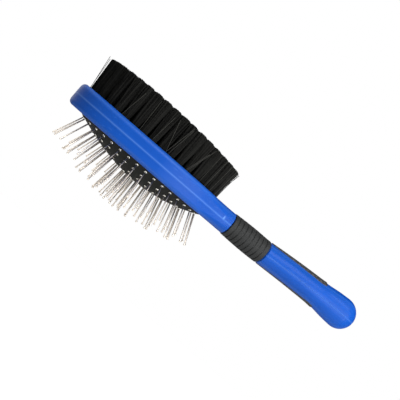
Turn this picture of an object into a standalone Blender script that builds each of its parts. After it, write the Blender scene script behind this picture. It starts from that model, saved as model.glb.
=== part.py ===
"""Double-sided grooming brush: black bristle tufts above, metal pins on a rubber air cushion below.

The frame's +X runs from the head's tip to the handle's end, +Z points out of the bristle side, and z = 0 is
the level of the longest pin tips. Lengths are in metres.
"""

import math

import bmesh
import bpy
import numpy as np
from mathutils import Matrix, Vector

MM = 0.001
GAP = 0.3 * MM

# Overall layout. Stations along the brush are counted from the head's tip.
LENGTH = 212 * MM
PARTING_Z = 36.58 * MM
BAND_HALF = 7.05 * MM
COLLAR_START, COLLAR_END = 116.3 * MM, 142.6 * MM

# Outline of the blue body: station, half width, half depth and rise of its middle line, in mm.
BODY_KNOTS = (
    (48.5, 30.0, 7.05, 0.0), (61.5, 30.0, 7.05, 0.0), (69.5, 29.1, 7.05, 0.0), (79, 27.0, 7.05, 0.0),
    (88.5, 23.4, 7.0, 0.0), (96, 19.6, 6.95, 0.0), (103.7, 15.8, 6.95, 0.0), (110.5, 13.2, 6.95, 0.0),
    (116.3, 12.2, 7.0, 0.05), (129.4, 11.9, 7.1, 0.3), (142.6, 12.0, 7.25, 0.65), (152, 12.4, 7.5, 1.35),
    (162.5, 12.9, 7.75, 2.1), (173.2, 13.0, 8.0, 2.7), (181.8, 12.4, 8.2, 3.1), (188.3, 11.4, 8.7, 3.3),
    (195, 11.0, 9.45, 3.4), (202, 10.8, 9.85, 3.5), (212, 10.8, 9.85, 3.5),
)
HEAD_MIDDLE, HEAD_POWER = 54.5 * MM, 2.3
BALL_MIDDLE, BALL_RADIUS = 202 * MM, 10 * MM
SHOULDER_ACROSS, SHOULDER_DOWN = 4.2 * MM, 2.9 * MM
NECK_STEP = 2.0 * MM
HEAD_WALL, TAIL_WALL = 2.2 * MM, 3.3 * MM
POST_STATIONS = (108.8 * MM, 161 * MM, 196.5 * MM)

# Bristle plate and the tufts drawn through it.
PLATE_MIDDLE, PLATE_LONG, PLATE_WIDE, PLATE_POWER = 52.6 * MM, 48.9 * MM, 25.9 * MM, 2.2
PLATE_TOP, PLATE_BOTTOM = 6.4 * MM, 2.7 * MM
LEDGE_TOP, LEDGE_BOTTOM = 2.4 * MM, 0.9 * MM
TUFT_ROOT_Z, STRIP_THICK, STRIP_WIDE = 1.3 * MM, 0.9 * MM, 3.2 * MM
TUFT_ROOT_RADIUS, TUFT_TIP_RADIUS, TUFT_HOLE_RADIUS = 1.2 * MM, 2.6 * MM, 2.4 * MM
BRISTLE_TOP, BRISTLE_CREST = 29.4 * MM, -0.3
BRISTLE_FALL_TIP, BRISTLE_FALL_NECK = 2.3 * MM, 4.4 * MM
# Name, half length and half width of the ring of tufts in mm, number of tufts.
TUFT_RINGS = (
    ("outer", 45.5, 22.8, 34),
    ("second", 39.7, 17.3, 28),
    ("third", 33.9, 11.8, 22),
    ("inner", 28.1, 6.3, 18),
)
CENTRE_ROW_TUFTS, CENTRE_ROW_PITCH = 5, 6.7 * MM

# Rubber cushion and the pins in it.
CUSHION_MIDDLE, CUSHION_LONG, CUSHION_WIDE = 54.8 * MM, 44.9 * MM, 25 * MM
DOME_HEIGHT, DOME_SKEW, CUSHION_WALL = 9.8 * MM, 0.10, 1.4 * MM
FLANGE_TOP, FLANGE_BOTTOM, FLANGE_OUT = -3.5 * MM, -4.9 * MM, 1.9 * MM
RING_TOP, RING_BOTTOM, RING_INNER = -1.5 * MM, -3.2 * MM, 1.0 * MM
PIN_RADIUS, PIN_BALL_RADIUS, PIN_HOLE_RADIUS = 0.42 * MM, 0.72 * MM, 0.95 * MM
PIN_PROUD = 19.7 * MM
PIN_SPLAY_END, PIN_SPLAY_SIDE = 23.0, 28.0
CARRIER_THICK, CARRIER_WIDE = 0.8 * MM, 1.5 * MM
# Name, share of the dome's radius, number of pins, carrier's level above the cushion's rim in mm.
PIN_RINGS = (
    ("outer", 0.94, 34, 0.4),
    ("second", 0.75, 28, -2.2),
    ("third", 0.5, 18, -5.2),
    ("inner", 0.25, 10, -7.1),
    ("centre", 0.06, 2, -7.8),
)

# Ribbed collar and grip inlays.
COLLAR_RIBS, COLLAR_PROUD, COLLAR_BARREL, GROOVE_DEEP = 9, 0.35 * MM, 0.35 * MM, 0.7 * MM
INLAY_PROUD, INLAY_DEEP = 0.5 * MM, 1.2 * MM
# Station and half width of each inlay, in mm.
UPPER_INLAY = (
    (143.8, 2.6), (145.8, 3.6), (150, 4.8), (156.3, 6.0), (169, 7.4), (180, 7.9), (183.3, 7.3), (184.2, 6.2),
)
LOWER_INLAY = (
    (143.8, 1.4), (147.8, 2.4), (154, 3.5), (162.5, 4.6), (173.2, 5.7), (182, 6.2), (184.9, 5.6), (186, 4.6),
)

BLUE = (0.02, 0.22, 0.62, 1)
BLACK_RUBBER = (0.02, 0.02, 0.022, 1)


def clear_scene():
    """Empty the scene of whatever stood in it."""
    for obj in list(bpy.data.objects):
        bpy.data.objects.remove(obj)


def material(name, color, roughness, metallic=0.0):
    """A plain finish for one sub-part."""
    made = bpy.data.materials.new(name)
    made.use_nodes = True
    shader = made.node_tree.nodes["Principled BSDF"]
    shader.inputs["Base Color"].default_value = color
    shader.inputs["Roughness"].default_value = roughness
    shader.inputs["Metallic"].default_value = metallic
    return made


def place(x, y, z):
    """A point from its station, side and level above the parting plane."""
    return Vector((x - LENGTH / 2, y, z + PARTING_Z))


def knot_value(column, x):
    """A smooth curve through one column of the body's knots."""
    xs = [knot[0] * MM for knot in BODY_KNOTS]
    ys = [knot[column] * MM for knot in BODY_KNOTS]
    slopes = np.gradient(ys, xs)
    i = min(max(int(np.searchsorted(xs, x)) - 1, 0), len(xs) - 2)
    step = xs[i + 1] - xs[i]
    t = min(max((x - xs[i]) / step, 0.0), 1.0)
    flat = ys[i] * (2 * t**3 - 3 * t**2 + 1) + ys[i + 1] * (3 * t**2 - 2 * t**3)
    return flat + step * (slopes[i] * (t**3 - 2 * t**2 + t) + slopes[i + 1] * (t**3 - t**2))


def body_size(x):
    """Half width, half depth and middle level of the blue body's outside at a station."""
    wide, deep, rise = (knot_value(column, x) for column in (1, 2, 3))
    if x < HEAD_MIDDLE:
        share = min((HEAD_MIDDLE - x) / HEAD_MIDDLE, 1.0)
        wide *= max(1 - share**HEAD_POWER, 0.0) ** (1 / HEAD_POWER)
        nose = max(1 - x / (3 * MM), 0.0)
        wide, deep = max(wide, 2.6 * MM), deep - 2.6 * MM * (1 - math.sqrt(1 - nose**2))
    if x > BALL_MIDDLE:
        share = max(1 - ((x - BALL_MIDDLE) / BALL_RADIUS) ** 2, 0.004) ** 0.5
        wide, deep = wide * share, deep * share
    return wide, deep, rise


def half_section(x, grow, side, arc_points=4):
    """One half of the body's cross-section, from one parting edge over the shell to the other."""
    wide, deep, rise = body_size(x)
    wide, deep = wide + grow, deep + grow
    round_off = min(max((x - 95 * MM) / (25 * MM), 0.0), 1.0)
    across = min(SHOULDER_ACROSS, 0.8 * wide) * (1 - round_off) + 0.999 * wide * round_off
    down = min(SHOULDER_DOWN * (1 - round_off) + 0.93 * deep * round_off, 0.93 * deep)
    right = [(wide, 0.0)]
    for turn in np.linspace(0, math.pi / 2, arc_points):
        right.append((wide - across * (1 - math.cos(turn)), deep - down * (1 - math.sin(turn))))
    left = [(-y, z) for y, z in reversed(right)]
    return [place(x, y, rise + side * (z + GAP / 2)) for y, z in right + left]


def loft(rings, closed=False):
    """A solid skinned over rings of equally many points, with flat ends or bent round into a loop."""
    mesh = bmesh.new()
    rows = [[mesh.verts.new(point) for point in ring] for ring in rings]
    count = len(rows[0])
    pairs = list(zip(rows, rows[1:] + rows[:1])) if closed else list(zip(rows, rows[1:]))
    for low, high in pairs:
        for i in range(count):
            j = (i + 1) % count
            mesh.faces.new((low[i], low[j], high[j], high[i]))
    if not closed:
        mesh.faces.new(reversed(rows[0]))
        mesh.faces.new(rows[-1])
    bmesh.ops.recalc_face_normals(mesh, faces=mesh.faces)
    return mesh


class Builder:
    """Puts finished meshes into the brush's collection and cutters into a hidden one."""

    def __init__(self):
        self.parts = bpy.data.collections.new("bristle_brush")
        self.cutters = bpy.data.collections.new("cutters")
        self.cutters.hide_render = True
        for group in (self.parts, self.cutters):
            bpy.context.scene.collection.children.link(group)

    def add(self, name, mesh, finish=None, smooth=False):
        """Turn a working mesh into a sub-part, or into a cutter when it has no finish."""
        data = bpy.data.meshes.new(name)
        mesh.to_mesh(data)
        mesh.free()
        obj = bpy.data.objects.new(name, data)
        if finish:
            data.materials.append(finish)
            self.parts.objects.link(obj)
            for face in data.polygons:
                face.use_smooth = smooth
        else:
            obj.hide_render = True
            obj.display_type = "WIRE"
            self.cutters.objects.link(obj)
        return obj

    def boolean(self, target, tool, operation):
        """Cut a tool from a sub-part, or join it on."""
        modifier = target.modifiers.new(tool.name, "BOOLEAN")
        modifier.operation, modifier.solver, modifier.object = operation, "EXACT", tool


def oval(long, wide, power, turn):
    """A point on an oval of the given half length and half width."""
    c, s = math.cos(turn), math.sin(turn)
    return long * math.copysign(abs(c) ** (2 / power), c), wide * math.copysign(abs(s) ** (2 / power), s)


def oval_ring(middle, size, power, low, high, steps=48):
    """Two rings of points for an upright oval wall between two levels."""
    turns = [2 * math.pi * i / steps for i in range(steps)]
    points = [oval(size[0], size[1], power, turn) for turn in turns]
    return [[place(middle + x, y, level) for x, y in points] for level in (low, high)]


def oval_prism(middle, size, power, low, high, steps=48):
    """A solid oval slab."""
    return loft(oval_ring(middle, size, power, low, high, steps))


def oval_tube(middle, outer, inner, power, low, high):
    """An oval slab with an oval opening through it."""
    outside, inside = (oval_ring(middle, size, power, low, high) for size in (outer, inner))
    return loft([outside[0], outside[1], inside[1], inside[0]], closed=True)


def even_turns(long, wide, count, phase=0.0):
    """Angles that spread a number of places evenly round an ellipse."""
    turns = np.linspace(0, 2 * math.pi, 721)
    run = np.hypot(long * np.sin(turns), wide * np.cos(turns))
    travelled = np.concatenate([[0], np.cumsum((run[1:] + run[:-1]) / 2)])
    marks = (np.arange(count) + phase) / count * travelled[-1]
    return np.interp(marks, travelled, turns)


def strip_loop(path, wide, low, high):
    """A flat strip laid along a closed path in the plan view."""
    middle = sum(path, Vector()) / len(path)
    rings = []
    for point, after in zip(path, path[1:] + path[:1]):
        before = path[path.index(point) - 1]
        along = (after - before).normalized()
        out = Vector((along.y, -along.x, 0)) * (wide / 2)
        if out.dot(point - middle) < 0:
            out = -out
        base = Vector((point.x, point.y, 0))
        rings.append([base + sign * out + Vector((0, 0, level + PARTING_Z))
                      for sign, level in ((-1, low), (1, low), (1, high), (-1, high))])
    return loft(rings, closed=True)


def add_rod(mesh, start, along, profile, sides, turned=0.0):
    """A turned rod in a mesh: a profile of (distance, radius) carried along a direction."""
    frame = Matrix.Translation(start) @ Vector((0, 0, 1)).rotation_difference(along).to_matrix().to_4x4()
    rows = []
    corners = [turned + 2 * math.pi * i / sides for i in range(sides)]
    for distance, radius in profile:
        points = [Vector((radius * math.cos(turn), radius * math.sin(turn), distance)) for turn in corners]
        rows.append([mesh.verts.new(frame @ point) for point in points])
    for low, high in zip(rows, rows[1:]):
        for i in range(sides):
            j = (i + 1) % sides
            mesh.faces.new((low[i], low[j], high[j], high[i]))
    mesh.faces.new(reversed(rows[0]))
    mesh.faces.new(rows[-1])


def stations():
    """Stations of the body's cross-sections, closer together at both ends."""
    nose = [0, 0.35, 1.0, 2.0, 3.2, 5, 7.5, 11, 15, 20, 26, 33, 41, 50]
    head = [61.5, 67, 73, 79, 85, 90.5, 96, 102, 108, 112.5, 115.95]
    tail = [142.95, 147, 152, 157, 162.5, 168, 173, 178.5, 183, 186.5, 189.5, 192.5, 196, 199, 202]
    ball = [202 + 10 * math.sin(turn) for turn in np.linspace(0.25, math.pi / 2, 7)]
    return [x * MM for x in nose + head], [x * MM for x in tail + ball]


def half_shell(side):
    """One half of the blue body, with a stepped-down neck for the collar."""
    head, tail = stations()
    neck = [116 * MM, 129.4 * MM, 142.9 * MM]
    rings = [half_section(x, 0.0, side) for x in head]
    rings += [half_section(x, -NECK_STEP, side) for x in neck]
    rings += [half_section(x, 0.0, side) for x in tail]
    return loft(rings)


def cavity(side):
    """The hollow inside one half, reaching across the parting plane."""
    rings = []
    for x, wall in ((3.2, HEAD_WALL), (6, HEAD_WALL), (12, HEAD_WALL), (22, HEAD_WALL), (36, HEAD_WALL),
                    (48.5, HEAD_WALL), (61.5, HEAD_WALL), (77, HEAD_WALL), (90, HEAD_WALL), (101.5, HEAD_WALL),
                    (111.5, TAIL_WALL + 1 * MM), (129.4, TAIL_WALL + 1 * MM), (145.8, TAIL_WALL + 1 * MM),
                    (156.3, TAIL_WALL), (173, TAIL_WALL), (186, TAIL_WALL), (202.5, TAIL_WALL)):
        upper = half_section(x * MM, -wall, side, 3)
        wide, _, rise = body_size(x * MM)
        wide -= wall
        lower = [place(x * MM, y, rise - side * 1.5 * MM) for y in (-wide, wide)]
        rings.append(upper + lower)
    return loft(rings)


def inlay(knots, side, grow, over):
    """A soft grip pad laid along the tail, or the pocket for it when it is grown by the gap."""
    xs = [knot[0] * MM for knot in knots]
    xs[0], xs[-1] = xs[0] - grow, xs[-1] + grow
    rings = []
    for i, x in enumerate(xs):
        half = knots[i][1] * MM + grow
        wide, deep, rise = body_size(x)
        tip = 0.35 if i in (0, len(xs) - 1) else 1.0
        levels = []
        for y in np.linspace(-half, half, 7):
            crown = 1 - 0.93 + 0.93 * math.sqrt(max(1 - (y / wide) ** 2, 0))
            levels.append((y, deep * crown))
        edge = [1 - 0.6 * (abs(y) > 0.99 * half) for y, _ in levels]
        top = [(y, z + max(over, INLAY_PROUD * tip * e)) for (y, z), e in zip(levels, edge)]
        foot = [(y, z - INLAY_DEEP - grow) for y, z in reversed(levels)]
        rings.append([place(x, y, rise + side * (z + GAP / 2)) for y, z in top + foot])
    return loft(rings)


def dome_level(x, y, inset=0.0):
    """Level of the cushion's dome under a plan point counted from its middle, below the rim as negative."""
    share = (x / (CUSHION_LONG - inset)) ** 2 + (y / (CUSHION_WIDE - inset)) ** 2
    skewed = 1 + DOME_SKEW * x / CUSHION_LONG
    return -BAND_HALF - (DOME_HEIGHT - inset) * skewed * max(1 - share, 0.0)


def dome_rings(inset, steps, shares):
    """Rings of the dome from its rim to near its crown."""
    rings = []
    for share in shares:
        ring = []
        for i in range(steps):
            turn = 2 * math.pi * i / steps
            x = (CUSHION_LONG - inset) * share * math.cos(turn)
            y = (CUSHION_WIDE - inset) * share * math.sin(turn)
            ring.append(place(CUSHION_MIDDLE + x, y, dome_level(x, y, inset)))
        rings.append(ring)
    return rings


def cushion_solid():
    """The hollow dome with its clamped flange, as one skin turned over at the flange's edge."""
    steps = 40
    shares = (1.0, 0.97, 0.9, 0.78, 0.6, 0.38, 0.12)
    outside = dome_rings(0.0, steps, shares)
    inside = dome_rings(CUSHION_WALL, steps, shares)

    def wall(out, level):
        return oval_ring(CUSHION_MIDDLE, (CUSHION_LONG + out, CUSHION_WIDE + out), 2, level, level, steps)[0]

    flange = [wall(0, FLANGE_BOTTOM), wall(FLANGE_OUT, FLANGE_BOTTOM), wall(FLANGE_OUT, FLANGE_TOP),
              wall(-CUSHION_WALL, FLANGE_TOP)]
    return loft(outside[::-1] + flange + inside)


def pin_places(ring):
    """Pins of one ring: head at the carrier, direction, and the point where it leaves the dome."""
    _, share, count, carrier = ring
    phase = 0.5 if ring in PIN_RINGS[1::2] else 0.0
    long, wide = CUSHION_LONG * share, CUSHION_WIDE * share
    return [pin_at(turn, long, wide, carrier) for turn in even_turns(long, wide, count, phase)]


def pin_at(turn, long, wide, carrier):
    """Head, direction and leaving point of the pin at one angle of its ring."""
    x, y = long * math.cos(turn), wide * math.sin(turn)
    lean_x = math.tan(math.radians(PIN_SPLAY_END)) * x / (0.9 * CUSHION_LONG)
    lean_y = math.tan(math.radians(PIN_SPLAY_SIDE)) * y / (0.9 * CUSHION_WIDE)
    along = Vector((lean_x, lean_y, -1))
    leave = place(CUSHION_MIDDLE + x, y, dome_level(x, y))
    climb = carrier * MM + CARRIER_THICK / 2 - BAND_HALF - dome_level(x, y)
    return leave - along * climb, along.normalized(), leave


def build_pins(build, ring, finish):
    """One ring of ball-tipped pins, fixed to the thin carrier strip behind the cushion."""
    name, share, _, carrier = ring
    low = carrier * MM - BAND_HALF
    long, wide = CUSHION_LONG * share, CUSHION_WIDE * share
    path = [pin_at(2 * math.pi * i / 32, long, wide, carrier)[0] for i in range(32)]
    if name == "centre":
        mesh = oval_prism(CUSHION_MIDDLE, (4.4 * MM, 1.2 * MM), 2.5, low, low + CARRIER_THICK, 24)
    else:
        mesh = strip_loop(path, CARRIER_WIDE, low, low + CARRIER_THICK)
    carrier_part = build.add(f"pin_ring_{name}", mesh, finish)
    rods = bmesh.new()
    for head, along, leave in pin_places(ring):
        length = (leave - head).length + PIN_PROUD
        profile = ((0, PIN_RADIUS), (length - 0.8 * MM, PIN_BALL_RADIUS), (length, 0.35 * MM))
        add_rod(rods, head, along, profile, 5)
    build.boolean(carrier_part, build.add(f"pin_rods_{name}", rods), "UNION")


def build_cushion(build, finish):
    """The rubber dome with a hole for every pin."""
    dome = build.add("rubber_cushion", cushion_solid(), finish, smooth=True)
    holes = bmesh.new()
    for ring in PIN_RINGS:
        for _, along, leave in pin_places(ring):
            profile = ((0, PIN_HOLE_RADIUS), (5.4 * MM, PIN_HOLE_RADIUS))
            add_rod(holes, leave - along * 4.2 * MM, along, profile, 4)
    build.boolean(dome, build.add("pin_holes", holes), "DIFFERENCE")


def trim_height(x):
    """Level of the bristle tips at a station, gently domed and lower towards the neck."""
    past = (x - PLATE_MIDDLE) / PLATE_LONG - BRISTLE_CREST
    if past > 0:
        return BRISTLE_TOP - BRISTLE_FALL_NECK * (past / (1 - BRISTLE_CREST)) ** 2
    return BRISTLE_TOP - BRISTLE_FALL_TIP * (past / (1 + BRISTLE_CREST)) ** 2


def ring_places(ring):
    """Stations and sides of the tufts of one ring."""
    _, long, wide, count = ring
    phase = 0.5 if ring in TUFT_RINGS[1::2] else 0.0
    turns = even_turns(long, wide, count, phase)
    return [(PLATE_MIDDLE + long * MM * math.cos(turn), wide * MM * math.sin(turn)) for turn in turns]


def centre_places():
    """Stations and sides of the tufts of the row along the middle."""
    middle = (CENTRE_ROW_TUFTS - 1) / 2
    return [(PLATE_MIDDLE + (i - middle) * CENTRE_ROW_PITCH, 0.0) for i in range(CENTRE_ROW_TUFTS)]


def build_tufts(build, name, places, strip, finish):
    """Bristle tufts fanned out from their holes and held together by a binding strip behind the plate."""
    strand = build.add(f"bristle_{name}", strip, finish)
    tufts = bmesh.new()
    for x, y in places:
        root = TUFT_ROOT_Z + STRIP_THICK / 2
        profile = ((0, TUFT_ROOT_RADIUS), (trim_height(x) - root, TUFT_TIP_RADIUS))
        add_rod(tufts, place(x, y, root), Vector((0, 0, 1)), profile, 5)
    build.boolean(strand, build.add(f"tufts_{name}", tufts), "UNION")


def build_bristles(build, finish, plate_finish):
    """The drilled plate and the rings of tufts drawn through it."""
    plate = build.add(
        "bristle_plate",
        oval_prism(PLATE_MIDDLE, (PLATE_LONG, PLATE_WIDE), PLATE_POWER, PLATE_BOTTOM, PLATE_TOP),
        plate_finish)
    low, high = TUFT_ROOT_Z, TUFT_ROOT_Z + STRIP_THICK
    groups = {"row_centre": centre_places()}
    row = (2 * CENTRE_ROW_PITCH + STRIP_WIDE / 2, STRIP_WIDE / 2)
    strips = {"row_centre": oval_prism(PLATE_MIDDLE, row, 4, low, high)}
    for ring in TUFT_RINGS:
        name, long, wide, _ = ring
        path = [place(PLATE_MIDDLE + long * MM * math.cos(2 * math.pi * i / 36),
                      wide * MM * math.sin(2 * math.pi * i / 36), 0) for i in range(36)]
        groups[f"ring_{name}"] = ring_places(ring)
        strips[f"ring_{name}"] = strip_loop(path, STRIP_WIDE, low, high)
    holes = bmesh.new()
    for name, places in groups.items():
        build_tufts(build, name, places, strips[name], finish)
        for x, y in places:
            profile = ((0, TUFT_HOLE_RADIUS), (PLATE_TOP - PLATE_BOTTOM + 2 * MM, TUFT_HOLE_RADIUS))
            add_rod(holes, place(x, y, PLATE_BOTTOM - 1 * MM), Vector((0, 0, 1)), profile, 4, math.pi / 4)
    build.boolean(plate, build.add("plate_holes", holes), "DIFFERENCE")


def pegs(side, low_radius, low, high_radius, high):
    """Three stepped posts on the middle line that register the halves on each other."""
    mesh = bmesh.new()
    for x in POST_STATIONS:
        _, deep, rise = body_size(x)
        start = place(x, 0, rise + side * (deep - 1.2 * MM))
        reach = deep - 1.2 * MM
        profile = ((0, low_radius), (reach - low, low_radius))
        if high_radius:
            profile += ((reach - low + 0.01 * MM, high_radius), (reach + high, high_radius))
        add_rod(mesh, start, Vector((0, 0, -side)), profile, 10)
    return mesh


def build_shells(build):
    """Both halves of the blue body, hollowed, opened and given ledges, posts and pockets."""
    upper = build.add("bristle_side_shell", half_shell(1), material("blue_upper", BLUE, 0.35), smooth=True)
    build.boolean(upper, build.add("upper_hollow", cavity(1)), "DIFFERENCE")
    opening = (PLATE_LONG + GAP, PLATE_WIDE + GAP)
    slot = oval_prism(PLATE_MIDDLE, opening, PLATE_POWER, LEDGE_TOP, BAND_HALF + 3 * MM)
    build.boolean(upper, build.add("plate_opening", slot), "DIFFERENCE")
    ledge = oval_tube(PLATE_MIDDLE, (PLATE_LONG + 1.3 * MM, PLATE_WIDE + 2.4 * MM),
                      (PLATE_LONG - 1 * MM, PLATE_WIDE - 1 * MM), PLATE_POWER, LEDGE_BOTTOM, LEDGE_TOP)
    build.boolean(upper, build.add("plate_ledge", ledge), "UNION")
    build.boolean(upper, build.add("upper_posts", pegs(1, 3 * MM, 0.15 * MM, 0, 0)), "UNION")
    sockets = bmesh.new()
    for x in POST_STATIONS:
        mouth = place(x, 0, body_size(x)[2] - 1 * MM)
        add_rod(sockets, mouth, Vector((0, 0, 1)), ((0, 1.6 * MM), (4.4 * MM, 1.6 * MM)), 10)
    build.boolean(upper, build.add("peg_sockets", sockets), "DIFFERENCE")
    build.boolean(upper, build.add("upper_pocket", inlay(UPPER_INLAY, 1, GAP, 3 * MM)), "DIFFERENCE")

    lower = build.add("pin_side_shell", half_shell(-1), material("blue_lower", BLUE, 0.35), smooth=True)
    build.boolean(lower, build.add("lower_hollow", cavity(-1)), "DIFFERENCE")
    well = oval_prism(CUSHION_MIDDLE, (CUSHION_LONG + GAP, CUSHION_WIDE + GAP), 2,
                      -BAND_HALF - 3 * MM, FLANGE_TOP)
    build.boolean(lower, build.add("cushion_opening", well), "DIFFERENCE")
    seat = oval_prism(CUSHION_MIDDLE, (CUSHION_LONG + FLANGE_OUT + GAP, CUSHION_WIDE + FLANGE_OUT + GAP), 2,
                      FLANGE_BOTTOM - GAP, 2 * MM)
    build.boolean(lower, build.add("flange_seat", seat), "DIFFERENCE")
    build.boolean(lower, build.add("lower_posts", pegs(-1, 3 * MM, 0.15 * MM, 1.3 * MM, 3 * MM)), "UNION")
    build.boolean(lower, build.add("lower_pocket", inlay(LOWER_INLAY, -1, GAP, 3 * MM)), "DIFFERENCE")


def build_collar(build, finish):
    """The ribbed rubber sleeve round the neck."""
    start, end = COLLAR_START, COLLAR_END
    steps = 24

    def section(x, grow):
        wide, deep, rise = body_size(x)
        points = []
        for i in range(steps):
            turn = 2 * math.pi * (i + 0.5) / steps
            across, up = oval(wide + grow, deep + grow, 2.15, turn)
            points.append(place(x, across, rise + up))
        return points

    pitch = (end - start) / COLLAR_RIBS
    outline = [(start, -0.3 * MM)]
    for i in range(COLLAR_RIBS):
        ridge = start + (i + 0.5) * pitch
        outline += [(ridge, 0.0), (ridge + 0.5 * pitch, -GROOVE_DEEP)]
    outline[-1] = (end, -0.3 * MM)
    rings = []
    for x, dip in outline:
        barrel = COLLAR_BARREL * (1 - (2 * (x - start) / (end - start) - 1) ** 2)
        rings.append(section(x, COLLAR_PROUD + barrel + dip))
    bore = -NECK_STEP + GAP + 0.45 * MM
    rings += [section(x, bore) for x in (end, (start + end) / 2, start)]
    build.add("ribbed_collar", loft(rings, closed=True), finish, smooth=True)


def build_trim(build):
    """Grip inlays and the frame that clamps the cushion's flange."""
    grip = material("grip_rubber", BLACK_RUBBER, 0.75)
    build.add("upper_grip_inlay", inlay(UPPER_INLAY, 1, 0.0, 0.0), grip, smooth=True)
    build.add("lower_grip_inlay", inlay(LOWER_INLAY, -1, 0.0, 0.0), grip.copy(), smooth=True)
    frame = oval_tube(CUSHION_MIDDLE, (CUSHION_LONG + FLANGE_OUT, CUSHION_WIDE + FLANGE_OUT),
                      (CUSHION_LONG - RING_INNER, CUSHION_WIDE - RING_INNER), 2, RING_BOTTOM, RING_TOP)
    build.add("cushion_retaining_ring", frame, material("ring_plastic", (0.08, 0.08, 0.085, 1), 0.5))


def main():
    """Build the brush."""
    clear_scene()
    build = Builder()
    build_shells(build)
    build_bristles(build, material("bristle_black", (0.012, 0.012, 0.012, 1), 0.5),
                   material("plate_black", (0.02, 0.02, 0.02, 1), 0.45))
    build_cushion(build, material("cushion_rubber", BLACK_RUBBER, 0.6))
    for ring in PIN_RINGS:
        build_pins(build, ring, material(f"pin_steel_{ring[0]}", (0.8, 0.8, 0.82, 1), 0.2, 1.0))
    build_collar(build, material("collar_rubber", (0.03, 0.03, 0.032, 1), 0.75))
    build_trim(build)


main()
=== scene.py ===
"""Looks of the double-sided grooming brush: visible pieces, finishes, stage, lights and camera."""

import logging
import math
from dataclasses import dataclass, field
from enum import Enum
from functools import lru_cache
from typing import Callable

import bpy
import numpy as np
from mathutils import Matrix, Vector


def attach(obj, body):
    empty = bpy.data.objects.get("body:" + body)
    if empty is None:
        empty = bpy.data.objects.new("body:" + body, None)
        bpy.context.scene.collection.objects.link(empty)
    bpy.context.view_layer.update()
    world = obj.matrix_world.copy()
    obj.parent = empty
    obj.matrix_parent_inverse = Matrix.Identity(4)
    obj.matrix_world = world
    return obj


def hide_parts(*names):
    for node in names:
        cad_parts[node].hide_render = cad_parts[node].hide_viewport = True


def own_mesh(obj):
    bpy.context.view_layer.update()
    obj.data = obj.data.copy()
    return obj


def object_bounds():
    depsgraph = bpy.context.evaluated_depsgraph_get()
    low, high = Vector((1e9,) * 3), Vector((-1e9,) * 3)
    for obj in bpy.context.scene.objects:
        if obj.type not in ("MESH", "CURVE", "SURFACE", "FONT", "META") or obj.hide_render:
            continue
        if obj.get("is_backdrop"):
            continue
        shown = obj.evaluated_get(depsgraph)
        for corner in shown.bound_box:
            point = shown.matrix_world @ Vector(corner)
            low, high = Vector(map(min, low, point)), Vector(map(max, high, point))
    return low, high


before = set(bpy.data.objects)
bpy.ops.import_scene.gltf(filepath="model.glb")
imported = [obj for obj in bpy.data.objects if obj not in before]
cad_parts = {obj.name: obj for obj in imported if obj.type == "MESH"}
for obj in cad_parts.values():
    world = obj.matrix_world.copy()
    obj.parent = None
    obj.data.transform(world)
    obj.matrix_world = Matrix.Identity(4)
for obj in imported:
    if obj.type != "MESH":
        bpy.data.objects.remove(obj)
cad_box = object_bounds()

log = logging.getLogger("brush")

MM = 0.001
GOLDEN_ANGLE = 2.39996
WAVE_PERIOD = 0.31  # metres between the ridges of a wave texture of scale 1

Surface = Callable[[float, float], Vector]


class Body(str, Enum):
    """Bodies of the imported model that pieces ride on."""

    BRUSH = "brush_body"
    INNER = "inner_pins"
    THIRD = "third_pins"
    SECOND = "second_pins"
    OUTER = "outer_pins"


class Slot(str, Enum):
    """Material slots of the record."""

    BLUE = "blue_plastic"
    PLATE = "plate_plastic"
    BRISTLE = "bristle_nylon"
    CUSHION = "cushion_rubber"
    STEEL = "pin_steel"
    GRIP = "grip_rubber"


class Side(int, Enum):
    """The two faces of the brush."""

    BRISTLES = 1
    PINS = -1


# --------------------------------------------------------------------------------------
# Shared layout
# --------------------------------------------------------------------------------------


@dataclass(frozen=True)
class Layout:
    """Where a station, side and level above the parting plane lie in the row frame.

    Attributes:
        length: Overall length of the brush.
        parting: Height of the parting plane above the longest pin tips.
    """

    length: float = 212 * MM
    parting: float = 36.58 * MM

    def place(self, x: float, y: float, z: float) -> Vector:
        """Turn layout coordinates into a point of the row frame.

        Args:
            x: Station from the head's tip.
            y: Distance across the brush.
            z: Level above the parting plane.

        Returns:
            The point in the row frame.
        """
        return Vector((x - self.length / 2, y, z + self.parting))


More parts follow.
